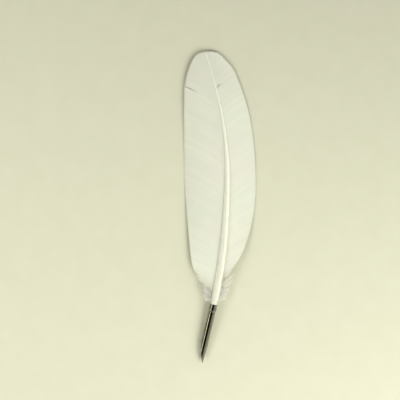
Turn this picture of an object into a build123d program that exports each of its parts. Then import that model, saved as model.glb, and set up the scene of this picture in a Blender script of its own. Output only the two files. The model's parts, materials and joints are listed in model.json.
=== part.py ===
from build123d import *
import os
from math import cos, radians, sin, tan

# Quill pen lying on a flat surface: a white goose flight feather with a rolled steel barrel nib
# pushed over its cut end. Millimetres. The feather runs along Y with its tip at +Y, the nib
# points towards -Y, +Z is up, and the finished pen is centred over the origin on z = 0.

# ---- barrel nib: axis, attitude and tube ----
NIB_LENGTH = 53.8
RIM_CENTRE = Vector(-5.3, -85.8, 6.47)
NIB_YAW = 13.2  # the nib points this far to the -X side of -Y, in degrees
NIB_PITCH = 5.0  # and this far below level
NIB_ROLL = 35.0  # its writing face looks to +X, raised by this angle
TUBE_R = 3.30
BORE_R = 3.05
COLLAR_R = 3.40
MOUTH_R = 3.15
COLLAR_LENGTH = 4.5
BEAD_LENGTH = 2.6
BEAD_RISE = 0.26
SEAM_WIDTH = 0.12
# lengths measured back from the writing point
SEAM_EYE_BACK = 27.4
SEAM_EYE_R = 1.7
VENT_BACK = 19.0
VENT_R = 0.5
TINE_LENGTH = 14.0
SHOULDER_BACK = 10.5
SHOULDER_CURVE = (1.95, 4.3)  # half width of the point, this far back from its end
SLOT_PAST_VENT = 1.5  # the open slot in the underside runs this far on towards the point
SLIT_WIDTH = 0.06
POINT_HALF_WIDTH = 0.14
TINE_ROOT_GAP = 0.03
TINE_TIP_R = 2.70  # the tines draw in a little towards the point
# edge of the scooped underside: across the tube towards the writing face, and back from the point
SCOOP_EDGE = [(-4.05, 20.5), (-2.4, 19.0), (-0.5, 14.6), (0.69, 10.0), (1.5, 6.8), (1.9, -1.0)]

# ---- feather shaft ----
QUILL_INSERT = 11.0
QUILL_FIT_R = 3.0
QUILL_WALL = 0.45
ARCH = 0.000466  # drop of the shaft line per square millimetre from the rim
PITH_START_Y = -45.0
CAVITY_END_Y = 104.0
DEPTH_RATIO = 1.12  # the shaft is a little deeper than it is wide
SHAFT_TIP = Vector(-12.5, 138.2, 0)
SHAFT_TIP_HEADING = Vector(-0.36, 1, -0.12)
THICK_END_Y = -80.0
THICK_WIDTH = 6.3
THIN_WIDTH = 1.0
TAPER_POWER = 0.9
SECTION_COUNT = 30
OVAL_SECTIONS = 4  # the section turns from round to oval over this many sections above the nib
SHAFT_PLAN = [
    (-4.0, -80.0),
    (-1.3, -66.0),
    (1.3, -50.0),
    (4.05, -25.0),
    (6.05, 5.0),
    (6.45, 40.0),
    (4.05, 67.0),
    (-0.5, 94.0),
    (-6.35, 117.0),
]

# ---- vanes ----
VANE_THICKNESS = 0.5
CAMBER_POWER = 1.8
LEFT_REACH = 38.5
RIGHT_REACH = 26.2
SHEET_ROWS = 24
SHEET_COLUMNS = 10
SHEET_UNDER_SHAFT = 3.0  # the sheets start on the far side of the shaft line
SHEET_SPARE = 8.0  # and run this far past the vane's edge before they are cut to shape
SHEET_PAST_TIP = 4.0
VANE_TIP = (-12.6, 138.45)
LEFT_TIP_EDGE = [VANE_TIP, (-18.5, 136.7), (-25.6, 127.5), (-29.6, 115.0), (-30.7, 108.7)]
LEFT_EDGE = [
    (-31.4, 107.0),
    (-31.8, 87.0),
    (-31.85, 60.0),
    (-31.5, 26.5),
    (-29.0, -8.8),
    (-26.4, -36.9),
    (-23.2, -55.5),
    (-14.8, -69.5),
    (-5.0, -76.0),
]
LEFT_SPLIT = [(-25.4, 105.3), (-12.0, 98.0), (0.4, 87.0)]
LEFT_SPLIT_ROOT = (1.2, 86.2)
LEFT_FOOT = (-3.3, -76.0)
RIGHT_TIP_EDGE = [VANE_TIP, (-7.5, 138.6), (-1.0, 136.8), (5.5, 130.8), (10.6, 125.0), (13.9, 119.6)]
RIGHT_EDGE = [
    (13.9, 119.6),
    (20.5, 102.5),
    (25.8, 84.7),
    (29.9, 62.0),
    (32.1, 34.0),
    (31.8, 6.1),
    (29.1, -12.0),
    (24.9, -27.5),
    (19.1, -42.5),
    (9.5, -58.0),
    (-0.6, -69.0),
]
RIGHT_SPLIT = [(13.9, 119.6), (6.2, 114.9), (0.3, 109.2)]
RIGHT_SPLIT_HIGH = (-3.3, 105.4)
RIGHT_SPLIT_LOW = (-3.1, 104.6)
RIGHT_SPLIT_BULGE = (-1.2, 106.7)
RIGHT_FOOT = (-1.9, -68.8)

# ---- loose parts of the feather ----
DOWN_R = 0.22
DOWN_LAST_Y = -81.0
DOWN_LENGTH = 19.0  # the highest barb of each row
DOWN_SHORTER = 9.0  # the lowest is shorter by this
DOWN_ROOT_DEPTH = 1.2  # they grow from the shaft below its middle
DOWN_DROOP = 2.2
DOWN_LIFT = 0.2
DOWN_ROOT_LINE = (-1.55, -66.0, 0.2)  # plan point on the shaft, and its slope there
LEFT_DOWN = (5, -77.3)  # how many, and where on the shaft the highest one grows
RIGHT_DOWN = (7, -71.0)
PULP_CAP_COUNT = 6
PULP_CAP_FIRST = 1.0
PULP_CAP_SPACING = 6.4
PULP_CAP_R = 4.2
PULP_CAP_WALL = 0.2
PULP_CAP_FROM = 1.5  # only the front of each dome is kept, from this far ahead of its centre

# ---- cutting blocks, larger than anything they cut ----
WIDE = 400
NIB_BLOCK = 60
PAST = 1.0  # how far a cutter runs past the metal


def nib_plane():
    """Plane at the rim: Z along the nib towards its point, X towards its writing face."""
    yaw, pitch, roll = radians(NIB_YAW), radians(NIB_PITCH), radians(NIB_ROLL)
    along = Vector(-sin(yaw) * cos(pitch), -cos(yaw) * cos(pitch), -sin(pitch))
    side = Vector(cos(yaw), -sin(yaw), 0)
    up = along.cross(side)
    return Plane(RIM_CENTRE, x_dir=side * cos(roll) + up * sin(roll), z_dir=along)


def shaft_height(y):
    """Height of the shaft line: it leaves the nib straight, arches up and comes down at the tip."""
    run = y - RIM_CENTRE.Y
    return RIM_CENTRE.Z + run * tan(radians(NIB_PITCH)) / cos(radians(NIB_YAW)) - ARCH * run**2


def shaft_line():
    plan = [(RIM_CENTRE.X, RIM_CENTRE.Y), *SHAFT_PLAN, (SHAFT_TIP.X, SHAFT_TIP.Y)]
    points = [(x, y, shaft_height(y)) for x, y in plan]
    start = nib_plane().z_dir * -1
    return Spline(*points, tangents=[start, SHAFT_TIP_HEADING])


def shaft_width(y):
    """Widest at the foot of the vanes, narrowed again to enter the nib, and thin at the tip."""
    if y < THICK_END_Y:
        share = (THICK_END_Y - y) / (THICK_END_Y - RIM_CENTRE.Y)
        return THICK_WIDTH + (2 * QUILL_FIT_R - THICK_WIDTH) * share
    share = ((SHAFT_TIP.Y - y) / (SHAFT_TIP.Y - THICK_END_Y)) ** TAPER_POWER
    return THIN_WIDTH + (THICK_WIDTH - THIN_WIDTH) * (3 * share**2 - 2 * share**3)


def shaft_sections(line, wall, end_y):
    """Ellipses square to the shaft line, each smaller than the shaft by the wall."""
    sections = []
    for number in range(SECTION_COUNT + 1):
        point = line @ (number / SECTION_COUNT)
        tangent = line % (number / SECTION_COUNT)
        if point.Y > end_y:
            break
        across = tangent.cross(Vector(0, 0, 1))
        half = shaft_width(point.Y) / 2 - wall
        depth = 1 + (DEPTH_RATIO - 1) * min(1, number / OVAL_SECTIONS)
        sections.append(Plane(point, x_dir=across, z_dir=tangent) * Ellipse(half, half * depth))
    return sections


def quill_end(radius, length):
    """Straight cylinder inside the nib, from the rim down to the cut end."""
    return nib_plane() * Cylinder(radius, length, align=(Align.CENTER, Align.CENTER, Align.MIN))


def make_cavity(line):
    """Everything inside the horn wall, from the cut end up into the thin part of the shaft."""
    inner = loft(shaft_sections(line, QUILL_WALL, CAVITY_END_Y))
    return inner + quill_end(QUILL_FIT_R - QUILL_WALL, QUILL_INSERT + PAST)


def make_shaft(line, cavity):
    outer = loft(shaft_sections(line, 0, SHAFT_TIP.Y + PAST))
    return outer + quill_end(QUILL_FIT_R, QUILL_INSERT) - cavity


def block_ahead(size):
    """Block that starts at the plane square to Y and fills everything on its +Y side."""
    return Box(size, size, size, align=(Align.CENTER, Align.MIN, Align.CENTER))


def make_pith(cavity):
    return cavity & (Pos(0, PITH_START_Y, 0) * block_ahead(WIDE))


def make_pulp_caps(line, cavity):
    """Dry cup-shaped membranes across the hollow quill, bulging towards the feather's tip."""
    caps = []
    for number in range(PULP_CAP_COUNT):
        along = PULP_CAP_FIRST + PULP_CAP_SPACING * number
        centre = line @ (along / line.length)
        dome = Pos(centre) * (Sphere(PULP_CAP_R) - Sphere(PULP_CAP_R - PULP_CAP_WALL))
        front = Pos(centre + Vector(0, PULP_CAP_FROM, 0)) * block_ahead(3 * PULP_CAP_R)
        caps.append(dome & front & cavity)
    return caps


def vane_sheet(line, side, reach):
    """Cambered sheet from the shaft line outwards; side is -1 for the left and 1 for the right."""
    spine = [line @ (row / SHEET_ROWS) for row in range(SHEET_ROWS + 1)]
    spine.append(spine[-1] + (line % 1) * SHEET_PAST_TIP)
    rows = []
    for point in spine:
        height = point.Z - VANE_THICKNESS / 2
        columns = []
        for column in range(SHEET_COLUMNS + 1):
            out = (reach + SHEET_SPARE) * column / SHEET_COLUMNS - SHEET_UNDER_SHAFT
            drop = (abs(out) / reach) ** CAMBER_POWER
            columns.append(Vector(point.X + side * out, point.Y, height * (1 - drop)))
        rows.append(columns)
    surface = Face.make_surface_from_array_of_points(rows)
    return Solid.extrude(surface, Vector(0, 0, VANE_THICKNESS))


def spine_points(low, high):
    """Plan points of the shaft line strictly between two places along Y, going up."""
    return [(x, y) for x, y in [*SHAFT_PLAN, (SHAFT_TIP.X, SHAFT_TIP.Y)] if low < y < high]


def closed_face(*curves):
    return make_face([edge for curve in curves for edge in curve.edges()])


def plan_prism(*curves):
    return extrude(closed_face(*curves), WIDE, both=True)


def make_left_vanes():
    upper = plan_prism(
        Spline(*LEFT_TIP_EDGE),
        Line(LEFT_TIP_EDGE[-1], LEFT_SPLIT[0]),
        Spline(*LEFT_SPLIT),
        Line(LEFT_SPLIT[-1], LEFT_SPLIT_ROOT),
        Polyline(LEFT_SPLIT_ROOT, *spine_points(LEFT_SPLIT_ROOT[1], VANE_TIP[1]), VANE_TIP),
    )
    lower = plan_prism(
        Line(LEFT_SPLIT[0], LEFT_EDGE[0]),
        Spline(*LEFT_EDGE),
        Line(LEFT_EDGE[-1], LEFT_FOOT),
        Polyline(LEFT_FOOT, *spine_points(LEFT_FOOT[1], LEFT_SPLIT_ROOT[1]), LEFT_SPLIT_ROOT),
        Line(LEFT_SPLIT_ROOT, LEFT_SPLIT[-1]),
        Spline(*LEFT_SPLIT),
    )
    return upper, lower


def make_right_vanes():
    upper = plan_prism(
        Spline(*RIGHT_TIP_EDGE),
        Spline(*RIGHT_SPLIT),
        Line(RIGHT_SPLIT[-1], RIGHT_SPLIT_HIGH),
        Polyline(RIGHT_SPLIT_HIGH, *spine_points(RIGHT_SPLIT_HIGH[1], VANE_TIP[1]), VANE_TIP),
    )
    lower = plan_prism(
        Spline(*RIGHT_SPLIT),
        ThreePointArc(RIGHT_SPLIT[-1], RIGHT_SPLIT_BULGE, RIGHT_SPLIT_LOW),
        Polyline(RIGHT_SPLIT_LOW, *reversed(spine_points(RIGHT_FOOT[1], RIGHT_SPLIT_LOW[1])), RIGHT_FOOT),
        Line(RIGHT_FOOT, RIGHT_EDGE[-1]),
        Spline(*RIGHT_EDGE),
    )
    return upper, lower


def make_down(line, side, count, first_y, solid_shaft):
    """Loose downy barbs at the foot of a vane: thin bowed rods, each a separate solid."""
    rods = []
    for number in range(count):
        share = number / (count - 1)
        y = first_y + (DOWN_LAST_Y - first_y) * share
        root_x = DOWN_ROOT_LINE[0] + (y - DOWN_ROOT_LINE[1]) * DOWN_ROOT_LINE[2]
        root = Vector(root_x, y, shaft_height(y) - DOWN_ROOT_DEPTH)
        length = DOWN_LENGTH - DOWN_SHORTER * share
        middle = root + Vector(side * length * 0.55, length * 0.25, DOWN_LIFT)
        end = root + Vector(side * length, length * (0.6 - 0.5 * share), -DOWN_DROOP)
        path = ThreePointArc(root, middle, end)
        rod = sweep(Plane(path @ 0, z_dir=path % 0) * Circle(DOWN_R), path)
        rods.append(rod - solid_shaft)
    return rods


def nib_profile():
    """Half section of the rolled tube: a flared collar, a bead, the plain tube and the drawn-in tines."""
    bead_end = COLLAR_LENGTH + BEAD_LENGTH
    bead_middle = COLLAR_LENGTH + BEAD_LENGTH / 2
    root = NIB_LENGTH - TINE_LENGTH
    tip_bore_r = TINE_TIP_R - (TUBE_R - BORE_R)
    profile = closed_face(
        Line((MOUTH_R, 0), (COLLAR_R, 0)),
        Line((COLLAR_R, 0), (COLLAR_R, COLLAR_LENGTH)),
        ThreePointArc((COLLAR_R, COLLAR_LENGTH), (COLLAR_R + BEAD_RISE, bead_middle), (TUBE_R, bead_end)),
        Line((TUBE_R, bead_end), (TUBE_R, root)),
        Line((TUBE_R, root), (TINE_TIP_R, NIB_LENGTH)),
        Line((TINE_TIP_R, NIB_LENGTH), (tip_bore_r, NIB_LENGTH)),
        Line((tip_bore_r, NIB_LENGTH), (BORE_R, root)),
        Line((BORE_R, root), (BORE_R, bead_end)),
        Line((BORE_R, bead_end), (MOUTH_R, COLLAR_LENGTH)),
        Line((MOUTH_R, COLLAR_LENGTH), (MOUTH_R, 0)),
    )
    return Plane.XZ * profile


def scoop_cutter():
    """Removes the underside of the tube in front of the seam's eye, seen from the side."""
    edge = [(across, NIB_LENGTH - back) for across, back in SCOOP_EDGE]
    corner = (edge[0][0], edge[-1][1])
    side = closed_face(Spline(*edge), Line(edge[-1], corner), Line(corner, edge[0]))
    return extrude(Plane.XZ * side, 2 * TUBE_R, both=True)


def point_cutter(side):
    """Removes the metal outside one of the two curved sides of the point, seen from above."""
    shoulder_z = NIB_LENGTH - SHOULDER_BACK
    outer = side * 2 * TUBE_R
    start = (side * (TUBE_R + 0.02), shoulder_z)
    middle = (side * SHOULDER_CURVE[0], NIB_LENGTH - SHOULDER_CURVE[1])
    point = (side * POINT_HALF_WIDTH, NIB_LENGTH)
    past_point = (side * POINT_HALF_WIDTH, NIB_LENGTH + PAST)
    outside = closed_face(
        ThreePointArc(start, middle, point),
        Line(point, past_point),
        Line(past_point, (outer, NIB_LENGTH + PAST)),
        Line((outer, NIB_LENGTH + PAST), (outer, shoulder_z)),
        Line((outer, shoulder_z), start),
    )
    return extrude(Plane.YZ * outside, 2 * TUBE_R, both=True)


def make_nib():
    """The whole nib in its own frame: rim at z = 0, writing face towards +X."""
    middle = (Align.CENTER, Align.CENTER, Align.MIN)
    under = (Align.MAX, Align.CENTER, Align.MIN)
    nib = revolve(nib_profile(), Axis.Z)
    reach = TUBE_R + PAST
    eye_z = NIB_LENGTH - SEAM_EYE_BACK
    nib -= Box(reach, SEAM_WIDTH, eye_z, align=under)
    nib -= Pos(0, 0, eye_z) * Rot(0, -90, 0) * Cylinder(SEAM_EYE_R, reach, align=middle)
    slot_length = SEAM_EYE_BACK - VENT_BACK + SLOT_PAST_VENT
    nib -= Pos(0, 0, eye_z) * Box(reach, 2 * SEAM_EYE_R, slot_length, align=under)
    nib -= scoop_cutter()
    nib -= point_cutter(1)
    nib -= point_cutter(-1)
    vent_z = NIB_LENGTH - VENT_BACK
    nib -= Pos(0, 0, vent_z) * Rot(0, 90, 0) * Cylinder(VENT_R, reach, align=middle)
    nib -= Pos(0, 0, vent_z) * Box(2 * reach, SLIT_WIDTH, VENT_BACK + PAST, align=middle)
    return nib


def split_nib(nib):
    """Barrel and the two sprung tines, which part from it across the root of the flexing length."""
    root_z = NIB_LENGTH - TINE_LENGTH
    size = (NIB_BLOCK, NIB_BLOCK, NIB_BLOCK)
    behind = Pos(0, 0, root_z) * Box(*size, align=(Align.CENTER, Align.CENTER, Align.MAX))
    ahead = Pos(0, 0, root_z + TINE_ROOT_GAP)
    left = ahead * Box(*size, align=(Align.CENTER, Align.MAX, Align.MIN))
    right = ahead * Box(*size, align=(Align.CENTER, Align.MIN, Align.MIN))
    return nib & behind, nib & left, nib & right


def build_pen():
    line = shaft_line()
    cavity = make_cavity(line)
    shaft = make_shaft(line, cavity)
    solid_shaft = shaft + cavity
    pieces = {
        "feather_shaft": [shaft],
        "rachis_pith": [make_pith(cavity)],
        "pulp_caps": make_pulp_caps(line, cavity),
        "left_downy_barbs": make_down(line, -1, *LEFT_DOWN, solid_shaft),
        "right_downy_barbs": make_down(line, 1, *RIGHT_DOWN, solid_shaft),
    }
    left_sheet = vane_sheet(line, -1, LEFT_REACH)
    right_sheet = vane_sheet(line, 1, RIGHT_REACH)
    left_upper, left_lower = make_left_vanes()
    right_upper, right_lower = make_right_vanes()
    pieces["left_vane_tip"] = [(left_sheet & left_upper) - solid_shaft]
    pieces["left_vane"] = [(left_sheet & left_lower) - solid_shaft]
    pieces["right_vane_tip"] = [(right_sheet & right_upper) - solid_shaft]
    pieces["right_vane"] = [(right_sheet & right_lower) - solid_shaft]
    barrel, left_tine, right_tine = split_nib(make_nib())
    pieces["nib_barrel"] = [nib_plane() * barrel]
    pieces["nib_left_tine"] = [nib_plane() * left_tine]
    pieces["nib_right_tine"] = [nib_plane() * right_tine]
    return pieces


def main():
    os.makedirs("parts", exist_ok=True)
    pieces = build_pen()
    solids = {name: [s for piece in group for s in piece.solids()] for name, group in pieces.items()}
    box = Compound([s for group in solids.values() for s in group]).bounding_box()
    centre = Vector(-box.center().X, -box.center().Y, -box.min.Z)
    print("shift to the origin", centre, "size", box.size)
    for name, group in solids.items():
        print(name, len(group), round(sum(s.volume for s in group), 2), Compound(group).bounding_box())
        export_step(Compound([Pos(centre) * s for s in group]), f"parts/{name}.step")


main()
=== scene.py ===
import json
from math import acos, asin, cos, pi, radians, sin, sqrt, tan

import bpy
import numpy as np
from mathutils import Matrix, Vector


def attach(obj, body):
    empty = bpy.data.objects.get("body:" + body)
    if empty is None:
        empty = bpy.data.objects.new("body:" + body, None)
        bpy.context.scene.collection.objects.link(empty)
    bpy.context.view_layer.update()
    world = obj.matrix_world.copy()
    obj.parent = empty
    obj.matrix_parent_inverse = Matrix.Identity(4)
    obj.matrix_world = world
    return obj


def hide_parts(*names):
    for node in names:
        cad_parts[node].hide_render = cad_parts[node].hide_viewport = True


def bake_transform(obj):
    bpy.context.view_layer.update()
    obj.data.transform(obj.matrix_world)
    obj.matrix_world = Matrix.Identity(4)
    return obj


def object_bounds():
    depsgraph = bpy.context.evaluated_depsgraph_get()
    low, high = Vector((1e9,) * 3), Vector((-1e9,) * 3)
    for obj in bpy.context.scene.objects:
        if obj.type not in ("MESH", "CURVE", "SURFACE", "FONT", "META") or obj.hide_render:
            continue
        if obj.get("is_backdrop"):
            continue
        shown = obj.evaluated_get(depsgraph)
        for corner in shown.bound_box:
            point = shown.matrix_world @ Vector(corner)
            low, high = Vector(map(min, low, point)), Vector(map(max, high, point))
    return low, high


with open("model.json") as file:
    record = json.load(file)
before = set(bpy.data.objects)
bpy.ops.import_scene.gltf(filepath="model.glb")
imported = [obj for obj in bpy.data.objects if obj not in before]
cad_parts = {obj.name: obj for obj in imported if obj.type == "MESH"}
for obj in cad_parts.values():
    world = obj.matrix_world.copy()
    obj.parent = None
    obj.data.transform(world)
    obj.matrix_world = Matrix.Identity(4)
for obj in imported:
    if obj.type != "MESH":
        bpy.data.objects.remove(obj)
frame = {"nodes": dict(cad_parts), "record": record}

# Looks of the quill pen: two vanes made of single barbs, a horn shaft, downy wisps at its foot and
# a rolled steel nib. Shapes are worked out in millimetres in the pen's own frame, where the nib's
# rim is at RIM_CENTRE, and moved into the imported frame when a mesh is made.
CAD_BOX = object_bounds()
RANDOM = np.random.default_rng(41)
MM = 0.001

# ---- nib axis and tube, as built in CAD ----
NIB_LENGTH = 53.8
RIM_CENTRE = np.array((-5.3, -85.8, 6.47))
NIB_YAW = radians(13.2)
NIB_PITCH = radians(5.0)
NIB_ROLL = radians(35.0)
TUBE_R = 3.3
COLLAR_R = 3.4
METAL = 0.25
COLLAR_LENGTH = 4.5
BEAD_LENGTH = 2.6
BEAD_RISE = 0.26
TINE_TIP_R = 2.7
SEAM_HALF = 0.06
EYE_BACK = 27.4
EYE_R = 1.7
VENT_BACK = 19.0
VENT_R = 0.5
TINE_LENGTH = 14.0
SHOULDER_BACK = 10.5
SLIT_HALF = 0.03
POINT_HALF = 0.14
MOUNT_BACK = 16.0  # the barrel_tube mount's point lies this far down the nib from its rim
SCOOP_EDGE = [(-4.05, 20.5), (-2.4, 19.0), (-0.5, 14.6), (0.69, 10.0), (1.5, 6.8), (1.9, -1.0)]

# ---- shaft, as built in CAD: plan points, arch and widths ----
SHAFT_PLAN = [
    (-5.3, -85.8),
    (-4.0, -80.0),
    (-1.3, -66.0),
    (1.3, -50.0),
    (4.05, -25.0),
    (6.05, 5.0),
    (6.45, 40.0),
    (4.05, 67.0),
    (-0.5, 94.0),
    (-6.35, 117.0),
    (-12.5, 138.2),
]
TIP_SLOPE = -0.36
ARCH = 0.000466
QUILL_INSERT = 11.0
QUILL_R = 3.0
QUILL_WALL = 0.45
THICK_END_Y = -80.0
THICK_WIDTH = 6.3
THIN_WIDTH = 1.0
TAPER_POWER = 0.9
DEPTH_RATIO = 1.12
CAVITY_END_Y = 104.0

# ---- outlines of the vanes in plan, as built in CAD ----
VANE_THICKNESS = 0.5
CAMBER_POWER = 1.8
LEFT_REACH = 38.5
RIGHT_REACH = 26.2
VANE_TIP = (-12.6, 138.45)
LEFT_TIP_EDGE = [VANE_TIP, (-18.5, 136.7), (-25.6, 127.5), (-29.6, 115.0), (-30.7, 108.7)]
LEFT_EDGE = [
    (-31.4, 107.0),
    (-31.8, 87.0),
    (-31.85, 60.0),
    (-31.5, 26.5),
    (-29.0, -8.8),
    (-26.4, -36.9),
    (-23.2, -55.5),
    (-14.8, -69.5),
    (-5.0, -76.0),
]
RIGHT_TIP_EDGE = [VANE_TIP, (-7.5, 138.6), (-1.0, 136.8), (5.5, 130.8), (10.6, 125.0), (13.9, 119.6)]
RIGHT_EDGE = [
    (13.9, 119.6),
    (20.5, 102.5),
    (25.8, 84.7),
    (29.9, 62.0),
    (32.1, 34.0),
    (31.8, 6.1),
    (29.1, -12.0),
    (24.9, -27.5),
    (19.1, -42.5),
    (9.5, -58.0),
    (-0.6, -69.0),
]


def spline_slopes(t, v, first=None, last=None):
    """Slopes of the smooth cubic through the values; its ends are free where no slope is given."""
    count = len(t)
    gap = np.diff(t)
    rise = np.diff(v) / gap
    a = np.zeros((count, count))
    b = np.zeros(count)
    for i in range(1, count - 1):
        a[i, i - 1] = 1 / gap[i - 1]
        a[i, i] = 2 / gap[i - 1] + 2 / gap[i]
        a[i, i + 1] = 1 / gap[i]
        b[i] = 3 * (rise[i - 1] / gap[i - 1] + rise[i] / gap[i])
    a[0, :2] = (2, 1) if first is None else (1, 0)
    b[0] = 3 * rise[0] if first is None else first
    a[-1, -2:] = (1, 2) if last is None else (0, 1)
    b[-1] = 3 * rise[-1] if last is None else last
    return np.linalg.solve(a, b)


def cubic(t, v, slopes, at):
    """Value of that cubic at any places, carried on in a straight line past its ends."""
    at = np.asarray(at, float)
    inside = np.clip(at, t[0], t[-1])
    i = np.clip(np.searchsorted(t, inside) - 1, 0, len(t) - 2)
    gap = t[i + 1] - t[i]
    u = (inside - t[i]) / gap
    value = (1 + 2 * u) * (1 - u) ** 2 * v[i] + u * (1 - u) ** 2 * gap * slopes[i]
    value = value + u * u * (3 - 2 * u) * v[i + 1] + u * u * (u - 1) * gap * slopes[i + 1]
    return value + (at - inside) * np.where(at < t[0], slopes[0], slopes[-1])


PLAN = np.array(SHAFT_PLAN)
PLAN_SLOPES = spline_slopes(PLAN[:, 1], PLAN[:, 0], tan(NIB_YAW), TIP_SLOPE)


def shaft_x(y):
    """How far right the middle of the shaft lies, at places along the pen."""
    return cubic(PLAN[:, 1], PLAN[:, 0], PLAN_SLOPES, y)


def shaft_z(y):
    """How high the middle of the shaft lies, at places along the pen."""
    run = np.asarray(y, float) - RIM_CENTRE[1]
    return RIM_CENTRE[2] + run * tan(NIB_PITCH) / cos(NIB_YAW) - ARCH * run**2


def shaft_width(y):
    """Width of the shaft seen from above: it swells from the quill, then tapers to the tip."""
    y = np.asarray(y, float)
    foot = np.clip((THICK_END_Y - y) / (THICK_END_Y - RIM_CENTRE[1]), 0, 1)
    share = np.clip((PLAN[-1, 1] - y) / (PLAN[-1, 1] - THICK_END_Y), 0, 1) ** TAPER_POWER
    upper = THIN_WIDTH + (THICK_WIDTH - THIN_WIDTH) * (3 * share**2 - 2 * share**3)
    return np.where(y < THICK_END_Y, THICK_WIDTH + (2 * QUILL_R - THICK_WIDTH) * foot, upper)


def dense(points, per_span=14):
    """Smooth curve through plan points, as a list of close points."""
    points = np.array(points, float)
    t = np.concatenate(([0], np.cumsum(np.hypot(*np.diff(points, axis=0).T))))
    at = np.linspace(0, t[-1], per_span * len(points))
    axes = [cubic(t, points[:, k], spline_slopes(t, points[:, k]), at) for k in (0, 1)]
    return np.stack(axes, 1)


def smoothstep(x):
    x = np.clip(x, 0, 1)
    return x * x * (3 - 2 * x)


def between(x, start, end):
    """Grows smoothly from 0 where x is at start to 1 where it is at end."""
    return smoothstep((x - start) / (end - start))


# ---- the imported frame: where the pen's own frame lies in it ----
MOUNT = next(m for m in frame["record"]["mounts"] if m["name"] == "barrel_tube")
NIB_AXIS = np.array(MOUNT["axis"])
SHIFT = np.array(MOUNT["pos_m"]) / MM - NIB_AXIS * MOUNT_BACK - RIM_CENTRE


def to_frame(points):
    """Millimetre points in the pen's own frame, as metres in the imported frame."""
    return (np.asarray(points, float).reshape(-1, 3) + SHIFT) * MM


def make_piece(name, points, faces, material, values=()):
    """A mesh object from millimetre points; values are named numbers kept for each point."""
    mesh = bpy.data.meshes.new(name)
    mesh.from_pydata(to_frame(points).tolist(), [], faces)
    mesh.update()
    for key, numbers in values:
        attribute = mesh.attributes.new(key, "FLOAT", "POINT")
        attribute.data.foreach_set("value", np.asarray(numbers, np.float32).ravel())
    mesh.polygons.foreach_set("use_smooth", [True] * len(mesh.polygons))
    mesh.materials.append(material)
    piece = bpy.data.objects.new(name, mesh)
    bpy.context.scene.collection.objects.link(piece)
    return piece


# ---------------------------------------------------------------- materials


class Nodes:
    """Short way to add shader nodes to a material and join them."""

    def __init__(self, name):
        self.material = bpy.data.materials.new(name)
        self.material.use_nodes = True
        self.tree = self.material.node_tree
        self.shader = self.tree.nodes["Principled BSDF"]

    def add(self, kind, **settings):
        node = self.tree.nodes.new(kind)
        for key, value in settings.items():
            setattr(node, key, value)
        return node

    def join(self, source, target):
        self.tree.links.new(source, target)

    def feed(self, socket, source):
        """Join a source to one of the shader's own sockets."""
        self.join(source, self.shader.inputs[socket])

    def coordinates(self, scale, rotation):
        """Object coordinates in metres, scaled, so that a pattern has a real size."""
        place = self.add("ShaderNodeTexCoord")
        mapping = self.add("ShaderNodeMapping")
        mapping.inputs["Scale"].default_value = scale
        mapping.inputs["Rotation"].default_value = rotation
        self.join(place.outputs["Object"], mapping.inputs["Vector"])
        return mapping.outputs["Vector"]

    def noise(self, scale, detail, rough, rotation=(0, 0, 0)):
        node = self.add("ShaderNodeTexNoise")
        node.inputs["Scale"].default_value = 1.0
        node.inputs["Detail"].default_value = detail
        node.inputs["Roughness"].default_value = rough
        self.join(self.coordinates(scale, rotation), node.inputs["Vector"])
        return node.outputs["Fac"]

    def value(self, name):
        """Numbers kept under this name for each point of the mesh."""
        node = self.add("ShaderNodeAttribute", attribute_name=name)
        return node.outputs["Fac"]

    def ramp(self, source, stops):
        """Colours for numbers from 0 to 1."""
        node = self.add("ShaderNodeValToRGB")
        marks = node.color_ramp.elements
        while len(marks) < len(stops):
            marks.new(0.5)
        for mark, (place, colour) in zip(marks, stops):
            mark.position = place
            mark.color = (*colour, 1)
        self.join(source, node.inputs["Fac"])
        return node.outputs["Color"]

    def mix(self, share, first, second):
        """Two colours mixed; each input is a number, a colour or another node's output."""
        node = self.add("ShaderNodeMix", data_type="RGBA")
        for socket, item in ((node.inputs[0], share), (node.inputs[6], first), (node.inputs[7], second)):
            if isinstance(item, (int, float)):
                socket.default_value = item
            elif isinstance(item, tuple):
                socket.default_value = (*item, 1)
            else:
                self.join(item, socket)
        return node.outputs[2]

    def map_range(self, source, low, high):
        """Numbers from 0 to 1 stretched to run from low to high."""
        node = self.add("ShaderNodeMapRange")
        node.inputs["To Min"].default_value = low
        node.inputs["To Max"].default_value = high
        self.join(source, node.inputs["Value"])
        return node.outputs["Result"]

    def bump(self, height, distance, strength):
        node = self.add("ShaderNodeBump")
        node.inputs["Distance"].default_value = distance
        node.inputs["Strength"].default_value = strength
        self.join(height, node.inputs["Height"])
        self.feed("Normal", node.outputs["Normal"])

    def set(self, **numbers):
        """Numbers that are the same all over the surface, by the names of their sockets."""
        for key, number in numbers.items():
            self.shader.inputs[key.replace("_", " ")].default_value = number


# pairs of colours are the darker and the paler end of a pattern, linear red, green and blue
WEB_TONES = ((0.66, 0.68, 0.57), (0.80, 0.83, 0.68), (0.95, 0.98, 0.835))
WEB_CLOUD = ((0.80, 0.80, 0.67), (0.88, 0.88, 0.76))
WEB_WARMTH = ((0.82, 0.85, 0.71), (0.88, 0.83, 0.74))
WEB_FOOT = (0.70, 0.69, 0.58)
DOWN_TONES = ((0.88, 0.86, 0.77), (0.97, 0.96, 0.89))
BACKED_HORN = ((0.70, 0.72, 0.575), (0.78, 0.80, 0.655))
CLEAR_HORN = ((0.60, 0.60, 0.48), (0.69, 0.69, 0.56))
HORN_FLECKS = ((0.76, 0.74, 0.60), (0.92, 0.92, 0.82))
# painted light: pale colour along the shaft's right crest and left flank
HORN_PAINTED_LIGHT = (0.96, 0.97, 0.80)
PITH_TONES = ((0.70, 0.68, 0.60), (0.90, 0.89, 0.83))
MEMBRANE_TONES = ((0.56, 0.50, 0.36), (0.80, 0.76, 0.62))
STEEL_TONES = ((0.25, 0.24, 0.165), (0.31, 0.30, 0.215), (0.36, 0.35, 0.26))
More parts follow.
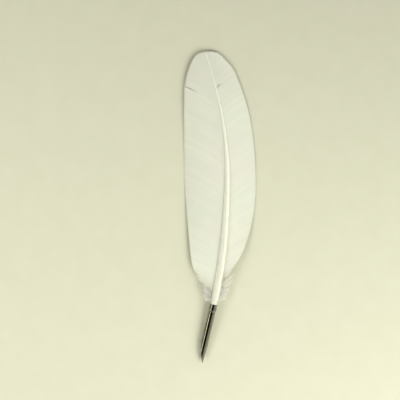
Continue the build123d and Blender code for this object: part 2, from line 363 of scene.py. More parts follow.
STEEL_BRUSHING = ((0.20, 0.19, 0.13), (0.42, 0.41, 0.31))
# pale colour of the rubbed edges and of the painted highlight on the bead
STEEL_WEAR_AND_HIGHLIGHT = (0.50, 0.49, 0.43)
RUBBED_ROUGHNESS = 0.5
FLOOR_TONES = ((0.640, 0.638, 0.485), (0.660, 0.658, 0.508))


def stops(colours, *places):
    """Colours at places along a ramp; a pair of colours lies at 0.3 and 0.7 unless told."""
    return list(zip(places or (0.3, 0.7), colours))


def vane_material():
    """White keratin web: each barb has its own tone, which also carries painted shade and painted light,
    and fine barbules cross between them.
    """
    n = Nodes("vane_web")
    barb = n.ramp(n.value("tone"), stops(WEB_TONES, 0.0, 0.5, 1.0))
    cloud = n.noise((60, 60, 60), detail=4, rough=0.6)
    colour = n.mix(0.3, barb, n.ramp(cloud, stops(WEB_CLOUD)))
    warmth = n.noise((32, 24, 32), detail=2, rough=0.4)
    colour = n.mix(0.25, colour, n.ramp(warmth, stops(WEB_WARMTH, 0.4, 0.62)))
    n.feed("Base Color", n.mix(n.value("loose"), colour, WEB_FOOT))
    n.feed("Roughness", n.map_range(cloud, low=0.5, high=0.68))
    barbules = n.noise((5200, 900, 2000), detail=2, rough=0.6, rotation=(0, 0, radians(35)))
    n.bump(barbules, distance=0.00004, strength=0.5)
    n.set(Sheen_Weight=0.08, Sheen_Roughness=0.4)
    return n.material


def down_material():
    """Limp white down with a soft sheen."""
    n = Nodes("downy_barbs")
    tone = n.noise((300, 300, 300), detail=3, rough=0.6)
    n.feed("Base Color", n.ramp(tone, stops(DOWN_TONES)))
    n.set(Roughness=0.75, Sheen_Weight=0.4, Sheen_Roughness=0.5)
    return n.material


def horn_material():
    """Polished horn: cream white where pith backs it, clearer and greyer on the hollow quill, with
    painted light along its right crest and left flank.
    """
    n = Nodes("shaft_horn")
    streak = n.noise((1500, 40, 1500), detail=4, rough=0.6)
    fleck = n.noise((260, 60, 260), detail=3, rough=0.5)
    backed = n.ramp(streak, stops(BACKED_HORN))
    clear = n.ramp(streak, stops(CLEAR_HORN))
    colour = n.mix(n.value("hollow"), backed, clear)
    colour = n.mix(0.15, colour, n.ramp(fleck, stops(HORN_FLECKS, 0.3, 0.6)))
    # painted highlight and painted light mixed into the horn's colour
    n.feed("Base Color", n.mix(n.value("painted_light"), colour, HORN_PAINTED_LIGHT))
    n.feed("Roughness", n.map_range(fleck, low=0.2, high=0.38))
    n.bump(streak, distance=0.00005, strength=0.4)
    n.set(Coat_Weight=0.3, Coat_Roughness=0.12, IOR=1.54)
    return n.material


def pith_material():
    """Dry white foam of small cells."""
    n = Nodes("shaft_pith")
    cells = n.noise((2600, 2600, 2600), detail=4, rough=0.7)
    n.feed("Base Color", n.ramp(cells, stops(PITH_TONES)))
    n.bump(cells, distance=0.0002, strength=0.6)
    n.set(Roughness=0.95)
    return n.material


def membrane_material():
    """Brittle wrinkled skin, the colour of parchment."""
    n = Nodes("dry_membrane")
    wrinkle = n.noise((900, 900, 900), detail=5, rough=0.7)
    n.feed("Base Color", n.ramp(wrinkle, stops(MEMBRANE_TONES)))
    n.bump(wrinkle, distance=0.0001, strength=0.7)
    n.set(Roughness=0.55)
    return n.material


def steel_material():
    """Rolled spring steel, brushed round the tube, with a cloudy temper, paler where it is rubbed, and
    with a painted highlight band on the bead.
    """
    n = Nodes("nib_steel")
    brushing = n.noise((900, 5200, 900), detail=3, rough=0.55, rotation=(0, 0, -NIB_YAW))
    cloud = n.noise((190, 190, 190), detail=4, rough=0.6)
    base = n.ramp(cloud, stops(STEEL_TONES, 0.3, 0.55, 0.75))
    colour = n.mix(0.2, base, n.ramp(brushing, stops(STEEL_BRUSHING, 0.35, 0.65)))
    # worn carries the rubbed edges and the bead's painted highlight
    worn = n.ramp(n.value("edge"), stops(((0, 0, 0), (1, 1, 1)), 0.0, 1.0))
    n.feed("Base Color", n.mix(worn, colour, STEEL_WEAR_AND_HIGHLIGHT))
    polish = n.map_range(brushing, low=0.08, high=0.17)
    n.feed("Roughness", n.mix(worn, polish, (RUBBED_ROUGHNESS,) * 3))
    n.bump(brushing, distance=0.00001, strength=0.25)
    n.set(Metallic=1.0)
    return n.material


def floor_material():
    """Pale matt board."""
    n = Nodes("pale_floor")
    grain = n.noise((55, 55, 55), detail=4, rough=0.6)
    n.feed("Base Color", n.ramp(grain, stops(FLOOR_TONES)))
    n.set(Roughness=0.9)
    return n.material


# ---------------------------------------------------------------- vanes

BARBS_PER_MM = 2.4
BARB_STEPS = 22
BARB_OVERLAP = 1.35  # width of a barb against its spacing
BARB_WIDEST_SPACING = 1.3 / BARBS_PER_MM
BARB_THICKNESS = 0.10
BARB_ROOT_THICKER = 1.15
BARB_THINS_BY = 0.5
BARB_SHARP_ANGLE = radians(60)
BARB_TIP_TAPER = 0.7
BARB_TIP_LEAST = 0.45  # share of its width and thickness left at a barb's very tip
BARB_ROOT_OUT = 0.25  # barbs start this far from the middle of the shaft
SHINGLE = 0.05  # each barb's upper edge lies this much over the next one
BARB_SLOPE = 0.42  # how a barb climbs far from the shaft
BARB_SWEEP = 9.0  # and how much more it climbs close to it
BARB_SWEEP_WITHIN = 12.0
BARB_JITTER = 0.03
BARB_STEP_POWER = 0.9  # steps along a barb are a little closer together towards its end
BARB_WEAR = 0.35
BARB_WEAR_LENGTH = 1.5
BARB_LEAST_LENGTH = 0.6
SEARCH_FIRST = 0.4
SEARCH_LAST = 45
SEARCH_STEP = 0.1
LOOSE_LENGTH = 14  # the lowest barbs of a vane, over this much of the shaft, hang loose
LOOSE_PALLOR = 0.6
LOOSE_SHORTER = 0.32
LOOSE_THINNER = 0.45
LOOSE_LIFT = 0.5
LOWEST_Z = 0.03
TIP_INSET = 1.2
LEFT_FOOT_Y = -76.0
RIGHT_FOOT_Y = -68.8
OUTLINE_BACK = 6  # outlines are closed this far beyond the middle of the shaft
OUTLINE_BACK_Y = (-40, 0, 40, 80, 110)
# the left vane has split from its edge inwards, the right one close to the shaft
LEFT_SPLIT_Y = 86.2
LEFT_SPLIT_OPENING = 0.36
LEFT_SPLIT_OUT = (17, 30)
LEFT_SPLIT_FADE = 3.0
RIGHT_SPLIT_Y = 105.0
RIGHT_SPLIT_OPENING = 0.50
RIGHT_SPLIT_LENGTH = 4.6
RIGHT_SPLIT_FADE = 1.4
# how far barbs are moved out of line, and how much their tone differs
CLUMP_SHIFT = 0.08
STRAY_SHIFT = 0.05
LOOSE_CLUMP_SHIFT = 0.7
LOOSE_STRAY_SHIFT = 0.5
WAVE_RIPPLE = 0.025
CLUMP_RIPPLE = 0.012
RIPPLE_SHORTER = 1.15  # length of a barb against the part of it that ripples
CLUMP_TONE = 0.03
STRAY_TONE = 0.045
BARB_TONE = 0.07
# how much greyer or paler the web gets, and between which places along the feather: painted shade at the
# tip and beside the shaft, painted light at the right edge, and greyer at the foot
MIDDLE_TONE = 0.5
# painted shade: the web darkens towards the tip
TIP_PAINTED_SHADE = 0.5
TIP_PAINTED_SHADE_Y = (80, 125)
LEFT_FOOT_GREY = 0.12
LEFT_FOOT_GREY_Y = (20, -40)
RIGHT_FOOT_GREY = 0.30
RIGHT_FOOT_GREY_Y = (-20, -60)
# painted light: the right vane's far edge is made paler
RIGHT_EDGE_PAINTED_LIGHT = 0.60
RIGHT_EDGE_PAINTED_LIGHT_Y = (-40, 30)
# painted shade on the web beside the shaft, strongest on the left, where the shaft's shadow falls
LEFT_SHAFT_PAINTED_SHADE = 0.84
RIGHT_SHAFT_PAINTED_SHADE = 0.20
SHAFT_PAINTED_SHADE_WITHIN = 9.0
# angle of the barbs to the shaft, as a factor on their climb, at four places along it
LEAN = ((LEFT_FOOT_Y, -40.0, 90.0, VANE_TIP[1]), (0.5, 1.0, 0.97, 1.25))
# how many barbs slow, middling and fine unevenness runs over
WAVE_REACHES = (26, 9, 2)


def lean(y):
    """Barbs stand out from the shaft at the foot and lie closer along it at the tip."""
    return np.interp(y, *LEAN)


def smooth_random(count, reach):
    """Random numbers of about unit size that change slowly over that many steps."""
    raw = RANDOM.normal(size=count + 8 * reach)
    window = np.hanning(2 * reach + 1)
    soft = np.convolve(raw, window / sqrt(float((window**2).sum())), "same")
    return soft[4 * reach : 4 * reach + count]


def inside(polygon, x, y):
    """Which points lie inside a closed plan polygon."""
    within = np.zeros(x.shape, bool)
    ends = np.roll(polygon, -1, axis=0)
    for (x1, y1), (x2, y2) in zip(polygon, ends):
        if y1 == y2:
            continue
        crosses = (y1 > y) != (y2 > y)
        within ^= crosses & (x < (x2 - x1) * (y - y1) / (y2 - y1) + x1)
    return within


def vane_outline(side):
    """Whole outline of one side of the feather, closed across the far side of the shaft."""
    tip, edge = (LEFT_TIP_EDGE, LEFT_EDGE) if side < 0 else (RIGHT_TIP_EDGE, RIGHT_EDGE)
    foot = LEFT_FOOT_Y if side < 0 else RIGHT_FOOT_Y
    back = [(shaft_x(y) - side * OUTLINE_BACK, y) for y in (foot - 1, *OUTLINE_BACK_Y)]
    past_tip = (VANE_TIP[0] - side * 1.5, VANE_TIP[1] + 0.2)
    return np.vstack([dense(tip), dense(edge), back, [past_tip]])


def barb_plan(root_y, out, side):
    """Where a barb is, seen from above, when it has come this far out from the shaft."""
    sweep = BARB_SLOPE * out + BARB_SWEEP * (1 - np.exp(-out / BARB_SWEEP_WITHIN))
    return shaft_x(root_y) + side * out, root_y + lean(root_y) * sweep


def barb_reach(root_y, side):
    """How far out each barb runs before it meets the outline of the vane."""
    out = np.arange(SEARCH_FIRST, SEARCH_LAST, SEARCH_STEP)
    x, y = barb_plan(root_y[:, None], out[None, :], side)
    within = inside(vane_outline(side), x, y)
    first_out = np.argmin(within, axis=1)
    return out[np.maximum(first_out, 1)]


def parting(side, root_y, out):
    """How far barbs move along the feather where the vane has split, above and below the split."""
    if side < 0:
        distance = root_y - LEFT_SPLIT_Y
        opening = LEFT_SPLIT_OPENING * between(out, *LEFT_SPLIT_OUT)
        fade = np.exp(-np.abs(distance) / LEFT_SPLIT_FADE)
    else:
        distance = root_y - RIGHT_SPLIT_Y
        opening = RIGHT_SPLIT_OPENING * np.sin(pi * np.clip(out / RIGHT_SPLIT_LENGTH, 0, 1))
        fade = np.exp(-np.abs(distance) / RIGHT_SPLIT_FADE)
    return np.sign(distance) * opening * fade


def vane_height(y, out, side):
    """Middle of the web: level with the shaft's middle, curving down to the resting surface."""
    reach = LEFT_REACH if side < 0 else RIGHT_REACH
    drop = np.clip(out / reach, 0, 1) ** CAMBER_POWER
    return (shaft_z(y) - VANE_THICKNESS / 2) * (1 - drop) + VANE_THICKNESS / 2


def vane_fields(side):
    """Slow, middling and fine unevenness along one whole side, shared by its two pieces."""
    low = LEFT_FOOT_Y if side < 0 else RIGHT_FOOT_Y
    grid = np.arange(low, VANE_TIP[1], 1 / BARBS_PER_MM)
    waves = [smooth_random(len(grid), reach) for reach in WAVE_REACHES]
    return lambda y: [np.interp(y, grid, wave)[:, None] for wave in waves]


FIELDS = {side: vane_fields(side) for side in (-1, 1)}


def web_tone_with_painted_light_and_shade(side, y, out, share):
    """Paleness of the web from 0 to 1: greyer at the foot, with painted shade at the tip and beside the
    shaft and painted light along the right vane's far edge.
    """
    # painted shade on the web beside the shaft
    shaft_painted_shade = np.exp(-out / SHAFT_PAINTED_SHADE_WITHIN)
    # painted shade towards the tip
    tone = MIDDLE_TONE - TIP_PAINTED_SHADE * between(y, *TIP_PAINTED_SHADE_Y)
    if side < 0:
        foot = LEFT_FOOT_GREY * between(y, *LEFT_FOOT_GREY_Y)
        return tone - foot - LEFT_SHAFT_PAINTED_SHADE * shaft_painted_shade
    foot = RIGHT_FOOT_GREY * between(y, *RIGHT_FOOT_GREY_Y)
    # painted light along the right vane's far edge
    edge = RIGHT_EDGE_PAINTED_LIGHT * share * between(y, *RIGHT_EDGE_PAINTED_LIGHT_Y)
    return tone - foot + edge - RIGHT_SHAFT_PAINTED_SHADE * shaft_painted_shade


def barb_roots(side, low, high):
    """Where the barbs of one piece leave the shaft, how long each is and how loose it hangs."""
    count = int((high - low) * BARBS_PER_MM)
    root_y = np.linspace(low, high, count)
    root_y = root_y + RANDOM.uniform(-BARB_JITTER, BARB_JITTER, count)
    length = barb_reach(root_y, side)
    worn = RANDOM.uniform(0, BARB_WEAR, count) ** 2 * BARB_WEAR_LENGTH
    length = np.maximum(length - worn, BARB_LEAST_LENGTH)
    foot_y = LEFT_FOOT_Y if side < 0 else RIGHT_FOOT_Y
    loose = smoothstep((foot_y + LOOSE_LENGTH - root_y) / LOOSE_LENGTH)
    length = length * (1 - loose * RANDOM.uniform(0, LOOSE_SHORTER, count))
    return root_y[:, None], length[:, None], loose[:, None]


def barb_lines(side, root_y, out, share, loose, waves):
    """Middle line of each barb, uneven as real ones are, most of all where they hang loose."""
    wave, clump, stray = waves
    x, y = barb_plan(root_y, out, side)
    y = y + parting(side, root_y, out)
    astray = loose * (LOOSE_CLUMP_SHIFT * clump + LOOSE_STRAY_SHIFT * stray)
    y = y + share * share * (CLUMP_SHIFT * clump + STRAY_SHIFT * stray + astray)
    z = vane_height(y, np.abs(x - shaft_x(y)), side)
    ripple = WAVE_RIPPLE * wave + CLUMP_RIPPLE * clump
    z = z + ripple * np.sin(pi * np.clip(share * RIPPLE_SHORTER, 0, 1))
    z = z + loose * share * LOOSE_LIFT * np.abs(stray)
    return np.stack([x, y, z], 2)


def barb_strips(middle, side, share, length, loose):
    """Four corner points round each place on each barb's middle line: flat strips like shingles."""
    along = np.gradient(middle, axis=1)
    normal = np.stack([-along[..., 1], along[..., 0]], 2) * -side
    normal /= np.linalg.norm(normal, axis=2, keepdims=True)
    spacing = np.abs((np.gradient(middle[..., :2], axis=0) * normal).sum(2))
    spacing = np.minimum(spacing, BARB_WIDEST_SPACING)
    end = np.clip((1 - share) * length / BARB_TIP_TAPER, BARB_TIP_LEAST, 1)
    half = spacing * BARB_OVERLAP / 2 * end * (1 - LOOSE_THINNER * loose)
    thick = BARB_THICKNESS * (BARB_ROOT_THICKER - BARB_THINS_BY * share) * end
    points = np.repeat(middle[:, :, None, :], 4, axis=2)
    points[:, :, 0, :2] -= normal * half[..., None]
    points[:, :, 2, :2] += normal * half[..., None]
    points[:, :, 0, 2] -= SHINGLE * end
    points[:, :, 2, 2] += SHINGLE * end
    points[:, :, 1, 2] += thick
    points[:, :, 3, 2] -= thick
    points[..., 2] = np.maximum(points[..., 2], LOWEST_Z)
    return points


def make_vane(name, node, side, low, high, material):
    """One piece of the web, made of single barbs."""
    root_y, length, loose = barb_roots(side, low, high)
    count = len(root_y)
    share = np.linspace(0, 1, BARB_STEPS + 1) ** BARB_STEP_POWER
    out = BARB_ROOT_OUT + share[None, :] * (length - BARB_ROOT_OUT)
    waves = FIELDS[side](root_y[:, 0])
    middle = barb_lines(side, root_y, out, share, loose, waves)
    points = barb_strips(middle, side, share, length, loose)
    uneven = CLUMP_TONE * waves[1] + STRAY_TONE * waves[2]
    uneven = uneven + BARB_TONE * RANDOM.normal(size=(count, 1))
    # tone holds random unevenness together with the web's painted shade and painted light
    tone = np.clip(web_tone_with_painted_light_and_shade(side, middle[..., 1], out, share) + uneven, 0, 1)
    looseness = loose * LOOSE_PALLOR + 0 * out
    values = [
        (key, np.repeat(numbers[:, :, None], 4, axis=2))
        for key, numbers in (("tone", tone), ("loose", looseness))
    ]
    faces = ribbon_faces(count, BARB_STEPS, side)
    piece = make_piece(name, points, faces, material, values)
    piece.data.set_sharp_from_angle(angle=BARB_SHARP_ANGLE)
    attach(piece, "quill")
    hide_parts(node)


def ribbon_faces(count, steps, side):
    """Faces of many closed four-sided strips, numbered strip by strip and section by section."""
    faces = []
    for strip in range(count):
        start = strip * (steps + 1) * 4
        for step in range(steps):
            a = start + step * 4
            for k in range(4):
                m = (k + 1) % 4
                faces.append((a + k, a + m, a + 4 + m, a + 4 + k))
        last = start + steps * 4
        faces.append((start + 3, start + 2, start + 1, start))
        faces.append((last, last + 1, last + 2, last + 3))
    if side < 0:
        faces = [face[::-1] for face in faces]
    return faces


def make_vanes():
    web = vane_material()
    gap = 0.5 / BARBS_PER_MM
    tip_y = VANE_TIP[1] - TIP_INSET
    make_vane("left_vane_barbs", "left_vane", -1, LEFT_FOOT_Y, LEFT_SPLIT_Y - gap, web)
    make_vane("left_tip_barbs", "left_vane_tip", -1, LEFT_SPLIT_Y + gap, tip_y, web)
    make_vane("right_vane_barbs", "right_vane", 1, RIGHT_FOOT_Y, RIGHT_SPLIT_Y - gap, web)
    make_vane("right_tip_barbs", "right_vane_tip", 1, RIGHT_SPLIT_Y + gap, tip_y, web)


# ---------------------------------------------------------------- shaft

SHAFT_SIDES = 40
SHAFT_RINGS = 230
QUILL_RINGS = 9
QUILL_TO_RIM = 0.6  # the last ring inside the nib is this far from its rim
GROOVE_DEPTH = 0.10
GROOVE_WIDTH = 0.42  # radians
GROOVE_START_Y = (-74, -54)
OVAL_RUN = 28  # the quill turns from round to oval over this much above the rim
SHAFT_TURN = np.arange(SHAFT_SIDES) * 2 * pi / SHAFT_SIDES
# clear grey horn and pale horn, and the strength and spread of the shaft's painted highlight, as values
# at places along the shaft
HOLLOW_SHARE = ((-80.0, -55.0, -20.0, 30.0), (1.0, 0.8, 0.7, 0.0))
PAINTED_HIGHLIGHT_STRENGTH = ((-60.0, -10.0, 30.0), (0.55, 0.75, 1.0))
PAINTED_HIGHLIGHT_SPREAD = ((-60.0, 40.0, 100.0), (radians(26), radians(52), radians(110)))
# painted highlight on the right crest and painted light on the left flank: where they start, and where
# round the shaft they lie
PAINTED_LIGHT_START_Y = (-84, -72)
PAINTED_HIGHLIGHT_ANGLE = radians(42)  # round from the shaft's right side
PAINTED_FLANK_LIGHT_ANGLE = radians(172)
PAINTED_FLANK_LIGHT_SPREAD = radians(44)


def rings_to_faces(rings, sides, first=0):
    """Faces of a tube whose points are numbered ring by ring."""
    faces = []
    for ring in range(rings - 1):
        for k in range(sides):
            a = first + ring * sides + k
            b = first + ring * sides + (k + 1) % sides
            faces.append((a, a + sides, b + sides, b))
    return faces


def shaft_ring(centre, tangent, half, depth, groove):
    """Oval ring square to the shaft, with a groove along its underside."""
    across = np.cross(tangent, (0, 0, 1))
    across /= np.linalg.norm(across)
    up = np.cross(across, tangent)
    dent = 1 - groove * np.exp(-(((SHAFT_TURN - 1.5 * pi) / GROOVE_WIDTH) ** 2))
    round_it = np.cos(SHAFT_TURN)[:, None] * across + depth * np.sin(SHAFT_TURN)[:, None] * up
    return centre + half * dent[:, None] * round_it


def shaft_stations():
    """Places along the shaft, from the cut end inside the nib to the feather's tip."""
    quill = RIM_CENTRE + NIB_AXIS * np.linspace(QUILL_INSERT, QUILL_TO_RIM, QUILL_RINGS)[:, None]
    y = RIM_CENTRE[1] + (PLAN[-1, 1] - RIM_CENTRE[1]) * np.linspace(0, 1, SHAFT_RINGS)
    return np.vstack([quill, np.stack([shaft_x(y), y, shaft_z(y)], 1)])


def painted_light_share(y):
    """Share of painted light round the shaft: a painted highlight along its right side and painted light
    along its left flank, which leave its top darker.
    """
    from_painted_highlight = np.abs((SHAFT_TURN - PAINTED_HIGHLIGHT_ANGLE + pi) % (2 * pi) - pi)
    painted_highlight = np.exp(-((from_painted_highlight / np.interp(y, *PAINTED_HIGHLIGHT_SPREAD)) ** 2))
    painted_flank_light = np.exp(-(((SHAFT_TURN - PAINTED_FLANK_LIGHT_ANGLE) / PAINTED_FLANK_LIGHT_SPREAD) ** 2))
    above_nib = float(between(y, *PAINTED_LIGHT_START_Y))
    return np.maximum(np.interp(y, *PAINTED_HIGHLIGHT_STRENGTH) * painted_highlight, painted_flank_light) * above_nib


def shaft_walls():
    """Rings of the shaft's outside, and of its inside as far as the cavity goes."""
    stations = shaft_stations()
    tangents = np.gradient(stations, axis=0)
    tangents /= np.linalg.norm(tangents, axis=1, keepdims=True)
    outer, inner = [], []
    for centre, tangent in zip(stations, tangents):
        y = centre[1]
        half = QUILL_R if y < RIM_CENTRE[1] else float(shaft_width(y)) / 2
        depth = 1 + (DEPTH_RATIO - 1) * float(smoothstep((y - RIM_CENTRE[1]) / OVAL_RUN))
        groove = GROOVE_DEPTH * float(between(y, *GROOVE_START_Y))
        outer.append(shaft_ring(centre, tangent, half, depth, groove))
        if y < CAVITY_END_Y:
            inner.append(shaft_ring(centre, tangent, half - QUILL_WALL, depth, 0))
    return stations[:, 1], outer, inner


def shaft_faces(rings, holes):
    """Outside, tip, inside, end of the cavity and the cut ring that joins the two walls."""
    sides = SHAFT_SIDES
    total = rings * sides
    faces = rings_to_faces(rings, sides)
    faces.append(tuple(reversed(range(total - sides, total))))
    faces += rings_to_faces(holes, sides, total)
    faces.append(tuple(range(total, total + sides)))
    cut = total + (holes - 1) * sides
    for k in range(sides):
        m = (k + 1) % sides
        faces.append((k, m, cut + m, cut + k))
    return faces


def make_shaft():
    y, outer, inner = shaft_walls()
    holes = len(inner)
    hollow = np.interp(y, *HOLLOW_SHARE)
    painted_light = [painted_light_share(place) for place in y]
    values = (
        ("hollow", np.repeat(np.concatenate([hollow, hollow[:holes][::-1]]), SHAFT_SIDES)),
        ("painted_light", np.vstack(painted_light + [0 * SHAFT_TURN] * holes)),
    )
    points = np.vstack(outer + inner[::-1])
    faces = shaft_faces(len(outer), holes)
    piece = make_piece("shaft_horn", points, faces, horn_material(), values)
    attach(piece, "quill")
    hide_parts("feather_shaft")


# ---------------------------------------------------------------- downy barbs

STRAND_SIDES = 3
STRAND_TIP = 0.35  # share of its thickness left at a strand's end
STEM_R = 0.11
STEM_STEPS = 12
STEM_DROOP = 0.12
STEM_OUT = 0.6
STEM_BELOW = (0.2, 1.6)  # stems leave the shaft this far below its middle
STEM_LENGTH = (0.75, 1.05)  # against the length of their row
STEM_SHORTENS = 0.5
STEM_CLIMB = 0.75
STEM_CLIMB_LOSS = 0.55
STEM_CLIMB_SPREAD = (-0.18, 0.18)
STEM_RISE = (-0.05, 0.12)
STEM_CURL = (-0.12, 0.2)
HAIR_R = 0.055
HAIR_STEPS = 5
HAIR_DROOP = 0.1
HAIR_AHEAD = 0.75
HAIR_OUTWARD = (0.5, 0.9)
HAIR_RISE = (-0.25, 0.3)
HAIR_LENGTH = (1.4, 3.0)
HAIR_SHORTENS = 0.45
HAIR_CURL = (-0.3, 0.3)
HAIR_PAIRS = 26
HAIR_FIRST = 0.14  # hairs grow along this much of a stem
HAIR_RUN = 0.84
DOWN_REST_Z = 0.12
DOWN_ROWS = {
    "left": {"side": -1, "first": -77.0, "last": -82.5, "count": 24, "length": 18.0},
    "right": {"side": 1, "first": -70.0, "last": -82.5, "count": 30, "length": 18.0},
}


def strand_points(path, radius):
    """Thin tube along a path, drawn to a fine end."""
    path = np.asarray(path, float)
    tangent = np.gradient(path, axis=0)
    tangent /= np.linalg.norm(tangent, axis=1, keepdims=True)
    across = np.cross(tangent, (0.03, 0.02, 1))
    across /= np.linalg.norm(across, axis=1, keepdims=True)
    up = np.cross(across, tangent)
    taper = radius * np.linspace(1, STRAND_TIP, len(path))
    points = []
    for k in range(STRAND_SIDES):
        angle = 2 * pi * k / STRAND_SIDES
        points.append(path + taper[:, None] * (cos(angle) * across + sin(angle) * up))
    return np.stack(points, 1).reshape(-1, 3)


def add_strand(points, faces, path, radius):
    """Adds a closed strand to the lists of points and faces."""
    first = sum(len(p) for p in points)
    rings = len(path)
    points.append(strand_points(path, radius))
    faces += rings_to_faces(rings, STRAND_SIDES, first)
    faces.append((first, first + 1, first + 2))
    last = first + (rings - 1) * STRAND_SIDES
    faces.append((last + 2, last + 1, last))


def down_path(root, heading, length, droop, curl, steps):
    """A limp hair: leaves its root along a heading, curls sideways and droops."""
    t = np.linspace(0, 1, steps)
    heading = np.asarray(heading, float) / np.linalg.norm(heading)
    sideways = np.array((-heading[1], heading[0], 0))
    path = root + heading * (length * t)[:, None] + sideways * (curl * length * t**2)[:, None]
    path[:, 2] -= droop * length * t**2
    path[:, 2] = np.maximum(path[:, 2], DOWN_REST_Z)
    return path


def down_stem(row, share):
    """One stem of a row; share runs from the row's first stem to its last."""
    side = row["side"]
    y = row["first"] + (row["last"] - row["first"]) * share
    root = np.array((shaft_x(y) + side * STEM_OUT, y, shaft_z(y) - RANDOM.uniform(*STEM_BELOW)))
    length = row["length"] * (1 - STEM_SHORTENS * share) * RANDOM.uniform(*STEM_LENGTH)
    climb = STEM_CLIMB - STEM_CLIMB_LOSS * share + RANDOM.uniform(*STEM_CLIMB_SPREAD)
    heading = (side, climb, RANDOM.uniform(*STEM_RISE))
    curl = side * RANDOM.uniform(*STEM_CURL)
    return down_path(root, heading, length, STEM_DROOP, curl, STEM_STEPS)


def stem_hairs(stem):
    """Pairs of fine hairs along a stem, shorter towards its end."""
    for pair in range(HAIR_PAIRS):
        at = HAIR_FIRST + HAIR_RUN * pair / (HAIR_PAIRS - 1)
        place = at * (len(stem) - 1)
        i = min(int(place), len(stem) - 2)
        ahead = stem[i + 1] - stem[i]
        start = stem[i] + ahead * (place - i)
        ahead = ahead / np.linalg.norm(ahead)
        for turn in (-1, 1):
            outward = np.array((-ahead[1], ahead[0], 0)) * turn
            way = ahead * HAIR_AHEAD + outward * RANDOM.uniform(*HAIR_OUTWARD)
            way = way + (0, 0, RANDOM.uniform(*HAIR_RISE))
            length = RANDOM.uniform(*HAIR_LENGTH) * (1 - HAIR_SHORTENS * at)
            curl = RANDOM.uniform(*HAIR_CURL)
            yield down_path(start, way, length, HAIR_DROOP, curl, HAIR_STEPS)


def make_down(name, node, row, material):
    points, faces = [], []
    for number in range(row["count"]):
        stem = down_stem(row, number / (row["count"] - 1))
        add_strand(points, faces, stem, STEM_R)
        for hair in stem_hairs(stem):
            add_strand(points, faces, hair, HAIR_R)
    piece = make_piece(name, np.vstack(points), faces, material)
    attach(piece, "quill")
    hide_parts(node)


def make_all_down():
    material = down_material()
    make_down("left_down", "left_downy_barbs", DOWN_ROWS["left"], material)
    make_down("right_down", "right_downy_barbs", DOWN_ROWS["right"], material)


# ---------------------------------------------------------------- nib

NIB_COLUMNS = 44
NIB_STEP = 0.45
NIB_LEAST_STEP = 0.03
# places along the nib that need closer steps: their middle, reach to either side, and step
FINE_PLACES = (
    (0.0, 0.6, 0.15),
    (COLLAR_LENGTH + BEAD_LENGTH / 2, BEAD_LENGTH / 2 + 0.1, 0.13),
    (NIB_LENGTH - EYE_BACK - EYE_R / 2, EYE_R / 2 + 0.05, 0.08),
    (NIB_LENGTH - VENT_BACK, VENT_R + 0.02, 0.05),
    (NIB_LENGTH - 1.0, 1.0, 0.12),
)
SHARP_ANGLE = radians(40)
# the writing point: how far back from its end, and half its width there
POINT_END = (0.0, POINT_HALF)
POINT_MIDDLE = (4.3, 1.95)
POINT_SHOULDER = (SHOULDER_BACK, TUBE_R + 0.02)
BEAD_FULLER = 0.05
LEAST_METAL_ANGLE = 0.002  # radians
EDGE_RUB_WIDTH = 0.22
# strength of the bead's painted highlight
BEAD_PAINTED_HIGHLIGHT = 1.5
WEAR_AND_HIGHLIGHT_STRENGTH = 0.55
TINE_BLEND_LENGTH = 5


def nib_axes():
    """Unit directions across the nib: towards its writing face, and towards its right tine."""
    side = np.array((cos(NIB_YAW), -sin(NIB_YAW), 0))
    up = np.cross(NIB_AXIS, side)
    face = side * cos(NIB_ROLL) + up * sin(NIB_ROLL)
    return face, np.cross(NIB_AXIS, face)


NIB_FACE, NIB_RIGHT = nib_axes()
SCOOP = np.array([(NIB_LENGTH - back, across) for across, back in SCOOP_EDGE])
SCOOP_SLOPES = spline_slopes(SCOOP[:, 0], SCOOP[:, 1])


def nib_point(radius, angle, along):
    """Point on the nib's tube; the angle turns from the writing face towards the right tine."""
    radius, angle, along = np.broadcast_arrays(radius, angle, along)
    to_face = (radius * np.cos(angle))[..., None] * NIB_FACE
    to_right = (radius * np.sin(angle))[..., None] * NIB_RIGHT
    return RIM_CENTRE + (to_face + to_right) + along[..., None] * NIB_AXIS


def nib_radius(along):
    """Outside of the tube: collar, bead, plain barrel, and tines that draw in to the point."""
    root = NIB_LENGTH - TINE_LENGTH
    bead_end = COLLAR_LENGTH + BEAD_LENGTH
    in_bead = np.clip((along - COLLAR_LENGTH) / BEAD_LENGTH, 0, 1)
    swell = (BEAD_RISE + BEAD_FULLER) * np.sin(pi * in_bead)
    bead = COLLAR_R + (TUBE_R - COLLAR_R) * in_bead + swell
    tine = TUBE_R + (TINE_TIP_R - TUBE_R) * np.clip((along - root) / TINE_LENGTH, 0, 1)
    return np.where(along < bead_end, bead, tine)


def inner_angle(along):
    """Half angle of the opening in the writing face: nothing, the vent hole, then the slit."""
    past = along - (NIB_LENGTH - VENT_BACK)
    hole = sqrt(max(VENT_R**2 - past**2, 0))
    half = max(hole, SLIT_HALF) if past > 0 else hole
    return asin(half / nib_radius(along))


def point_half_width(back):
    """Half width of the writing point: an arc from the shoulder through its middle to the end."""
    a, b, c = POINT_END, POINT_MIDDLE, POINT_SHOULDER
    d = 2 * (a[0] * (b[1] - c[1]) + b[0] * (c[1] - a[1]) + c[0] * (a[1] - b[1]))
    squares = [p[0] ** 2 + p[1] ** 2 for p in (a, b, c)]
    x = (squares[0] * (b[1] - c[1]) + squares[1] * (c[1] - a[1]) + squares[2] * (a[1] - b[1])) / d
    y = (squares[0] * (c[0] - b[0]) + squares[1] * (a[0] - c[0]) + squares[2] * (b[0] - a[0])) / d
    radius = sqrt((a[0] - x) ** 2 + (a[1] - y) ** 2)
    return y + sqrt(max(radius**2 - (back - x) ** 2, 0))


